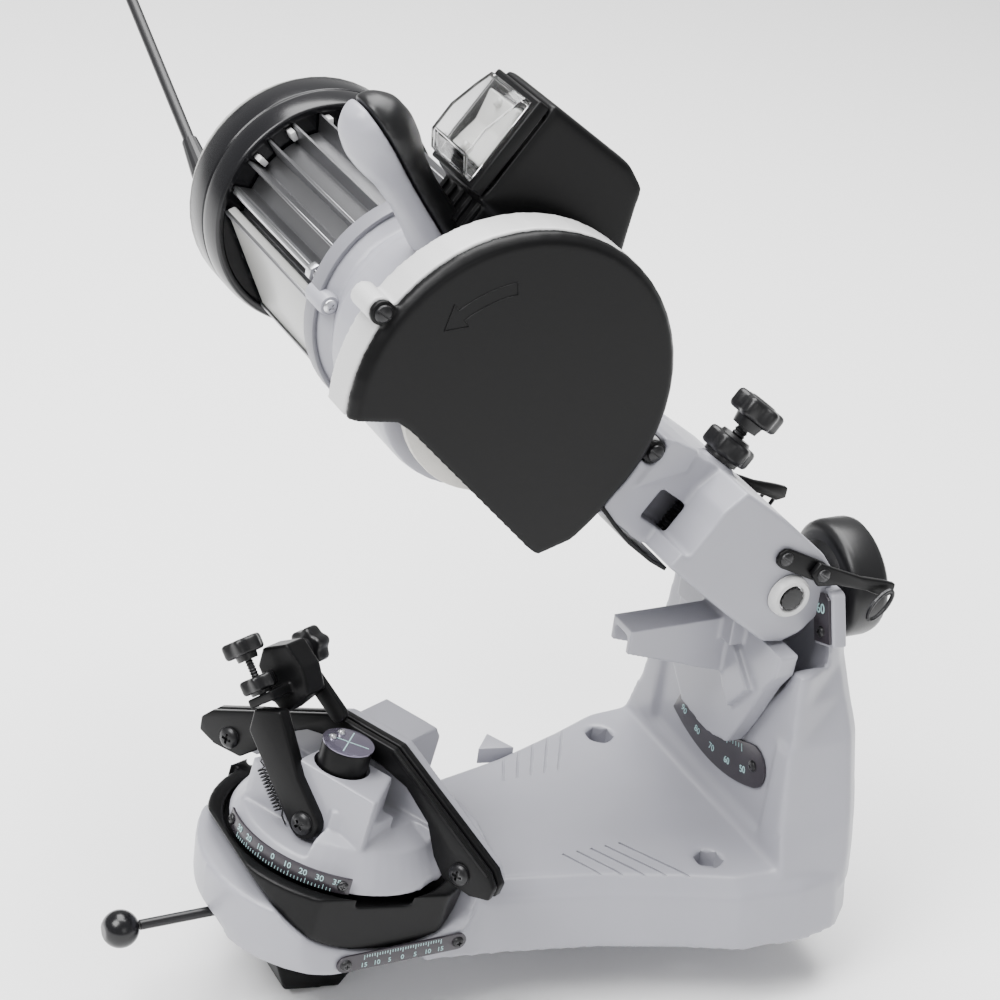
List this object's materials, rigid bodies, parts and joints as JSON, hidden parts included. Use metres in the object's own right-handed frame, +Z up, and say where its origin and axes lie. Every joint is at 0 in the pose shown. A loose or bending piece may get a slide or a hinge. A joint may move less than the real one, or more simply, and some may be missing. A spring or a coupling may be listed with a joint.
{
  "type": "bench grinder",
  "caption": "Bench-mounted saw-chain grinder: a swing head with motor, guarded thin wheel and switch over a turning, tilting chain vise on a cast base.",
  "frame": {"origin": "on the underside of the base casting, midway between its two bench bolts", "axes": "+Z up, +X to the operator's right along the bench edge, +Y away from the operator; the underside faces -Z"},
  "size_m": [0.5021, 0.3995, 0.4506],
  "materials": {
    "grey_paint": "satin",
    "pale_grey": "satin",
    "black_plastic": "satin",
    "knob_plastic": "satin",
    "gloss_plastic": "gloss",
    "bright_steel": "satin",
    "blacked_steel": "satin",
    "bare_aluminium": "satin",
    "winding_copper": "satin",
    "clear_plastic": "gloss",
    "grinding_stone": "matte",
    "scale_plate": "satin",
    "cord_sheath": "matte"
  },
  "bodies": {
    "base": {"base_casting": "grey_paint", "down_angle_plate": "scale_plate", "tilt_angle_plate": "scale_plate"},
    "cradle": {"cradle_ring": "black_plastic", "cradle_stud": "bright_steel"},
    "cradle_knob": {"cradle_lock_knob": "black_plastic"},
    "turntable": {"turntable_casting": "grey_paint", "angle_scale_plate": "scale_plate", "rear_jaw": "black_plastic", "stop_spring": "blacked_steel"},
    "moving_jaw": {"front_jaw": "black_plastic"},
    "eccentric": {"eccentric_knob": "black_plastic"},
    "clamp_lever": {"clamp_lever": "blacked_steel", "clamp_lever_ball": "gloss_plastic"},
    "chain_stop": {"chain_stop_arm": "black_plastic", "chain_stop_block": "black_plastic"},
    "stop_screw": {"stop_screw": "blacked_steel"},
    "stop_lock": {"stop_lock_knob": "knob_plastic"},
    "pawl": {"stop_pawl": "black_plastic"},
    "pawl_knob": {"pawl_knob": "knob_plastic"},
    "bracket": {"tilt_bracket": "grey_paint", "tilt_stud": "bright_steel", "hub_shaft": "bright_steel", "return_spring": "bright_steel"},
    "tilt_knob": {"tilt_lock_knob": "black_plastic"},
    "head": {"swing_arm": "grey_paint", "hub_bush_left": "winding_copper", "hub_bush_right": "winding_copper", "left_catch_link": "black_plastic", "right_catch_link": "black_plastic", "guard_backplate": "pale_grey", "guard_cover": "black_plastic", "head_housing": "grey_paint", "motor_body": "bare_aluminium", "stator": "winding_copper", "fan_cowl": "gloss_plastic", "rear_cap": "pale_grey", "front_bearing": "bright_steel", "rear_bearing": "bright_steel", "handle_front": "grey_paint", "handle_rear": "black_plastic", "switch_box": "black_plastic", "switch_frame": "black_plastic", "cord_gland": "black_plastic", "mains_cord": "cord_sheath", "mains_plug": "black_plastic"},
    "depth_screw": {"depth_screw": "blacked_steel"},
    "depth_lock": {"depth_lock_knob": "knob_plastic"},
    "right_lever": {"right_catch_lever": "black_plastic"},
    "left_lever": {"left_catch_lever": "black_plastic"},
    "right_ring": {"right_pull_ring": "bright_steel"},
    "left_ring": {"left_pull_ring": "bright_steel"},
    "spindle": {"motor_shaft": "bright_steel", "rotor": "bright_steel", "grinding_wheel": "grinding_stone", "outer_flange": "bright_steel", "wheel_nut": "bright_steel", "cooling_fan": "black_plastic"},
    "rocker": {"switch_rocker": "pale_grey"},
    "switch_lid": {"switch_lid": "clear_plastic"}
  },
  "joints": [
    {"name": "down_angle", "type": "hinge", "parent": "base", "child": "cradle", "pos_m": [0, -0.1695, 0.095], "axis": [1, 0, 0], "range_deg": [-5, 25]},
    {"name": "cradle_knob_turn", "type": "hinge", "parent": "cradle", "child": "cradle_knob", "pos_m": [0, -0.1695, 0.095], "axis": [0, 0.1736, 0.9848], "range_deg": [0, 180]},
    {"name": "turntable_turn", "type": "hinge", "parent": "cradle", "child": "turntable", "pos_m": [0, -0.1695, 0.095], "axis": [0, 0.1736, 0.9848], "range_deg": [-65, 5]},
    {"name": "jaw_slide", "type": "slide", "parent": "turntable", "child": "moving_jaw", "axis": [-0.5, 0.8529, -0.1504], "range_m": [0, 0.0015]},
    {"name": "eccentric_turn", "type": "hinge", "parent": "turntable", "child": "eccentric", "pos_m": [0.01037, -0.18521, 0.09777], "axis": [0, 0.1736, 0.9848], "range_deg": [-90, 90]},
    {"name": "lever_swing", "type": "hinge", "parent": "base", "child": "clamp_lever", "pos_m": [0, -0.216, 0.016], "axis": [0, 0, 1], "range_deg": [-20, 0]},
    {"name": "stop_swing", "type": "hinge", "parent": "turntable", "child": "chain_stop", "pos_m": [0.01643, -0.20123, 0.07318], "axis": [-0.5, 0.8529, -0.1504], "range_deg": [-4, 15]},
    {"name": "stop_screw_turn", "type": "hinge", "parent": "chain_stop", "child": "stop_screw", "pos_m": [0.02174, -0.20208, 0.07734], "axis": [-0.623, -0.2336, 0.7466], "range_deg": [-180, 180]},
    {"name": "stop_lock_turn", "type": "hinge", "parent": "chain_stop", "child": "stop_lock", "pos_m": [0.02174, -0.20208, 0.07734], "axis": [-0.623, -0.2336, 0.7466], "range_deg": [-90, 90]},
    {"name": "pawl_swing", "type": "hinge", "parent": "chain_stop", "child": "pawl", "pos_m": [-0.02307, -0.21315, 0.13695], "axis": [-0.5, 0.8529, -0.1504], "range_deg": [-30, 5]},
    {"name": "pawl_knob_turn", "type": "hinge", "parent": "chain_stop", "child": "pawl_knob", "pos_m": [-0.02307, -0.21315, 0.13695], "axis": [-0.5, 0.8529, -0.1504], "range_deg": [-90, 90]},
    {"name": "head_tilt", "type": "hinge", "parent": "base", "child": "bracket", "pos_m": [0, 0.0318, 0.1512], "axis": [0, 1, 0], "range_deg": [-35, 35]},
    {"name": "tilt_knob_turn", "type": "hinge", "parent": "bracket", "child": "tilt_knob", "pos_m": [0, 0.0318, 0.1512], "axis": [0, 1, 0], "range_deg": [0, 180]},
    {"name": "head_swing", "type": "hinge", "parent": "bracket", "child": "head", "pos_m": [0, 0.0255, 0.1783], "axis": [1, 0, 0], "range_deg": [0, 31], "stiffness_Nm_per_rad": 8, "springref_deg": -114.59},
    {"name": "depth_screw_turn", "type": "hinge", "parent": "head", "child": "depth_screw", "pos_m": [0.0085, -0.0198, 0.21122], "axis": [0, 0.5878, 0.809], "range_deg": [-180, 180]},
    {"name": "depth_lock_turn", "type": "hinge", "parent": "head", "child": "depth_lock", "pos_m": [0.0085, -0.0198, 0.21122], "axis": [0, 0.5878, 0.809], "range_deg": [-90, 90]},
    {"name": "right_lever_turn", "type": "hinge", "parent": "head", "child": "right_lever", "pos_m": [0, 0.04037, 0.18975], "axis": [1, 0, 0], "range_deg": [-5, 30]},
    {"name": "left_lever_turn", "type": "hinge", "parent": "head", "child": "left_lever", "pos_m": [0, 0.04037, 0.18975], "axis": [1, 0, 0], "range_deg": [-5, 30]},
    {"name": "right_ring_swing", "type": "hinge", "parent": "right_lever", "child": "right_ring", "pos_m": [0, 0.08118, 0.17616], "axis": [1, 0, 0], "range_deg": [-10, 40]},
    {"name": "left_ring_swing", "type": "hinge", "parent": "left_lever", "child": "left_ring", "pos_m": [0, 0.08118, 0.17616], "axis": [1, 0, 0], "range_deg": [-10, 40]},
    {"name": "spindle_spin", "type": "hinge", "parent": "head", "child": "spindle", "pos_m": [0, -0.12498, 0.28763], "axis": [1, 0, 0], "continuous": true},
    {"name": "rocker_press", "type": "hinge", "parent": "head", "child": "rocker", "pos_m": [-0.032, -0.12481, 0.39504], "axis": [1, 0, 0], "range_deg": [-10, 0]},
    {"name": "lid_open", "type": "hinge", "parent": "head", "child": "switch_lid", "pos_m": [-0.032, -0.11594, 0.41456], "axis": [1, 0, 0], "range_deg": [-95, 0]}
  ],
  "couplings": [
    {"joint": "jaw_slide", "follows": "lever_swing", "m_per_rad": -0.004}
  ]
}
